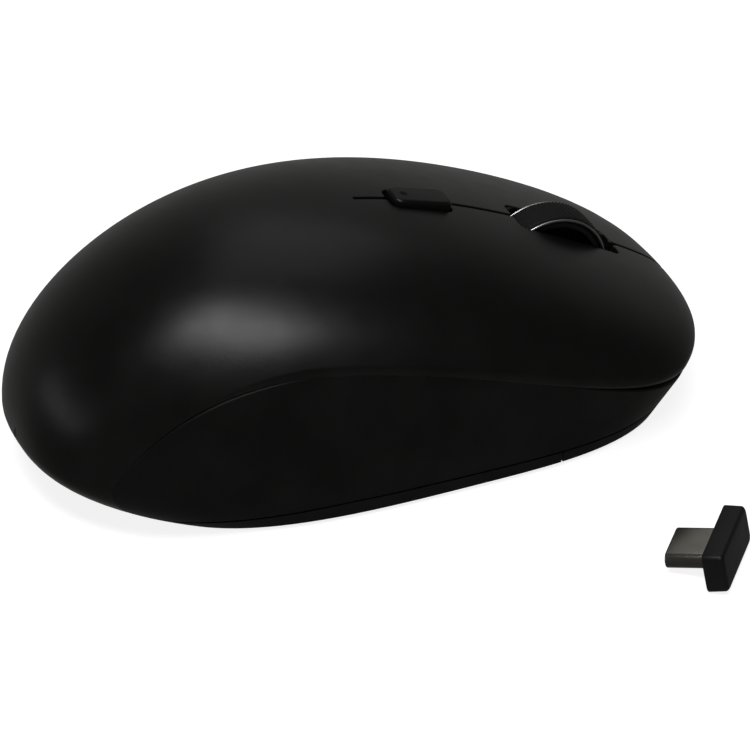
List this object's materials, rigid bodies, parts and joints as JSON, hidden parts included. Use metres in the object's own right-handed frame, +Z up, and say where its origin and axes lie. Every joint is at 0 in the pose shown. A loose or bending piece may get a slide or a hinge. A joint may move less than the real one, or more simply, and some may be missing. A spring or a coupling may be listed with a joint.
{
  "type": "computer mouse",
  "caption": "Cordless right- or left-hand computer mouse with an arched top shell, two keys, scroll wheel, resolution button, battery door and a separate USB-C receiver.",
  "frame": {"origin": "on the desk, on the optical sensor's axis, at the centre of the ring-shaped glide foot", "axes": "+Y towards the keys and the cable-free front, +X to the right of the hand, +Z up from the desk"},
  "size_m": [0.0956, 0.1036, 0.0376],
  "materials": {
    "shell_black": "fine matte",
    "panel_black": "fine matte",
    "base_black": "fine matte",
    "button_black": "satin",
    "tyre_rubber": "matte, knurled",
    "wheel_plastic": "satin",
    "ring_chrome": "polished",
    "steel": "satin",
    "contact_gold": "satin",
    "board_green": "solder mask",
    "switch_grey": "satin",
    "plunger_white": "satin",
    "chip_black": "satin",
    "lens_clear": "polished",
    "light_lens": "polished",
    "foot_grey": "satin, low friction",
    "cell_jacket": "gloss",
    "cap_black": "fine matte"
  },
  "bodies": {
    "housing": {"palm_cover": "shell_black", "side_band": "panel_black", "base_shell": "base_black", "inner_frame": "base_black", "dpi_switch": "switch_grey", "main_board": "board_green", "micro_switch_left": "switch_grey", "micro_switch_right": "switch_grey", "wheel_switch": "switch_grey", "sensor_lens": "lens_clear", "optical_sensor": "chip_black", "sensor_led": "lens_clear", "controller_chip": "chip_black", "clock_crystal": "steel", "filter_capacitor": "steel", "power_switch": "switch_grey", "battery_cell": "cell_jacket", "battery_spring": "steel", "battery_plate_contact": "steel", "glide_foot_front": "foot_grey", "glide_ring": "foot_grey", "housing_screws": "steel"},
    "left_key": {"key_left": "shell_black", "switch_plunger_left": "plunger_white"},
    "right_key": {"key_right": "shell_black", "switch_plunger_right": "plunger_white"},
    "resolution_button": {"dpi_button": "button_black", "status_light_lens": "light_lens", "dpi_plunger": "plunger_white"},
    "carriage": {"wheel_carriage": "wheel_plastic", "scroll_encoder": "switch_grey", "wheel_switch_plunger": "plunger_white"},
    "wheel": {"wheel_tyre": "tyre_rubber", "wheel_hub": "wheel_plastic", "wheel_axle": "steel", "wheel_ring_left": "ring_chrome", "wheel_ring_right": "ring_chrome"},
    "power_switch_knob": {"power_slider": "button_black"},
    "door": {"battery_door": "base_black", "glide_foot_rear": "foot_grey"},
    "receiver": {"receiver_cap": "cap_black", "receiver_plug_shell": "steel", "receiver_insulator": "chip_black", "receiver_contacts": "contact_gold"}
  },
  "joints": [
    {"name": "left_key_press", "type": "hinge", "parent": "housing", "child": "left_key", "pos_m": [0, -0.0083, 0.0325], "axis": [-1, 0, 0], "range_deg": [0, 1.2], "stiffness_Nm_per_rad": 3},
    {"name": "right_key_press", "type": "hinge", "parent": "housing", "child": "right_key", "pos_m": [0, -0.0083, 0.0325], "axis": [-1, 0, 0], "range_deg": [0, 1.2], "stiffness_Nm_per_rad": 3},
    {"name": "resolution_button_press", "type": "slide", "parent": "housing", "child": "resolution_button", "axis": [0, -0.3007, -0.9537], "range_m": [0, 0.0004], "stiffness_N_per_m": 600},
    {"name": "wheel_click", "type": "slide", "parent": "housing", "child": "carriage", "axis": [0, 0, -1], "range_m": [0, 0.0006], "stiffness_N_per_m": 900},
    {"name": "wheel_scroll", "type": "hinge", "parent": "carriage", "child": "wheel", "pos_m": [0, 0.0223, 0.0172], "axis": [-1, 0, 0], "continuous": true},
    {"name": "power_slide", "type": "slide", "parent": "housing", "child": "power_switch_knob", "axis": [1, 0, 0], "range_m": [0, 0.004]},
    {"name": "battery_door_slide", "type": "slide", "parent": "housing", "child": "door", "axis": [0, -1, 0], "range_m": [0, 0.055]},
    {"name": "receiver_lift", "type": "slide", "parent": "housing", "child": "receiver", "axis": [0, 0, 1], "range_m": [0, 0.04]}
  ]
}
